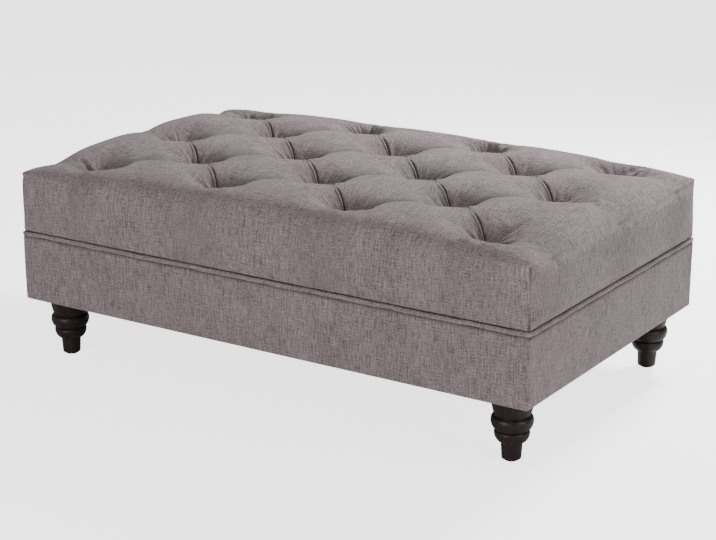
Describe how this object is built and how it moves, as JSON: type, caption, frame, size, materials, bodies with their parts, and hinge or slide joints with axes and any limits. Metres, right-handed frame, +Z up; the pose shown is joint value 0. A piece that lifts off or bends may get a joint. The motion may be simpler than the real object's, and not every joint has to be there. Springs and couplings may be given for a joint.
{
  "type": "ottoman coffee table",
  "caption": "Rectangular deep-buttoned fabric ottoman used as a coffee table, on an upholstered box frame with piped seam and turned dark legs.",
  "frame": {"origin": "centre of the footprint, on the floor", "axes": "+X along the length, +Y to the back, +Z up"},
  "size_m": [1.2008, 0.7258, 0.4445],
  "materials": {
    "cover_fabric": "heathered grey-taupe linen-look weave with vertical slubs",
    "welt_fabric": "the cover's weave, cut on the bias round a cord",
    "button_fabric": "the cover's weave, stretched over button shells",
    "wadding": "loose white polyester wadding",
    "foam": "cut cream upholstery foam",
    "cord": "twisted paper filler cord",
    "twine": "waxed nylon twine",
    "toggle_plastic": "moulded off-white plastic",
    "tack_strip_board": "flat brown board strip",
    "dust_sheet_cloth": "thin black spunbond cloth",
    "frame_timber": "sawn and planed pine, unfinished",
    "deck_plywood": "unfinished plywood",
    "leg_wood": "turned hardwood, near-black espresso stain, satin lacquer",
    "glide_plastic": "black nail-on glides",
    "zinc_steel": "bright zinc-plated steel",
    "staple_steel": "galvanised staple wire"
  },
  "bodies": {
    "root": {"top_cover": "cover_fabric", "front_band": "cover_fabric", "back_band": "cover_fabric", "left_band": "cover_fabric", "right_band": "cover_fabric", "welt_cover": "welt_fabric", "tuft_buttons": "button_fabric", "wadding_layer": "wadding", "band_wadding": "wadding", "foam_core": "foam", "welt_cord": "cord", "tuft_twines": "twine", "twine_toggles": "toggle_plastic", "tack_strip": "tack_strip_board", "dust_sheet": "dust_sheet_cloth", "front_rail": "frame_timber", "back_rail": "frame_timber", "left_end_rail": "frame_timber", "right_end_rail": "frame_timber", "left_stretcher": "frame_timber", "right_stretcher": "frame_timber", "front_left_corner_block": "frame_timber", "front_right_corner_block": "frame_timber", "back_left_corner_block": "frame_timber", "back_right_corner_block": "frame_timber", "deck_panel": "deck_plywood", "front_left_leg": "leg_wood", "front_right_leg": "leg_wood", "back_left_leg": "leg_wood", "back_right_leg": "leg_wood", "glides": "glide_plastic", "frame_screws": "zinc_steel", "block_screws": "zinc_steel", "deck_screws": "zinc_steel", "hanger_bolts": "zinc_steel", "tee_nuts": "zinc_steel", "dust_sheet_staples": "staple_steel"}
  },
  "joints": []
}
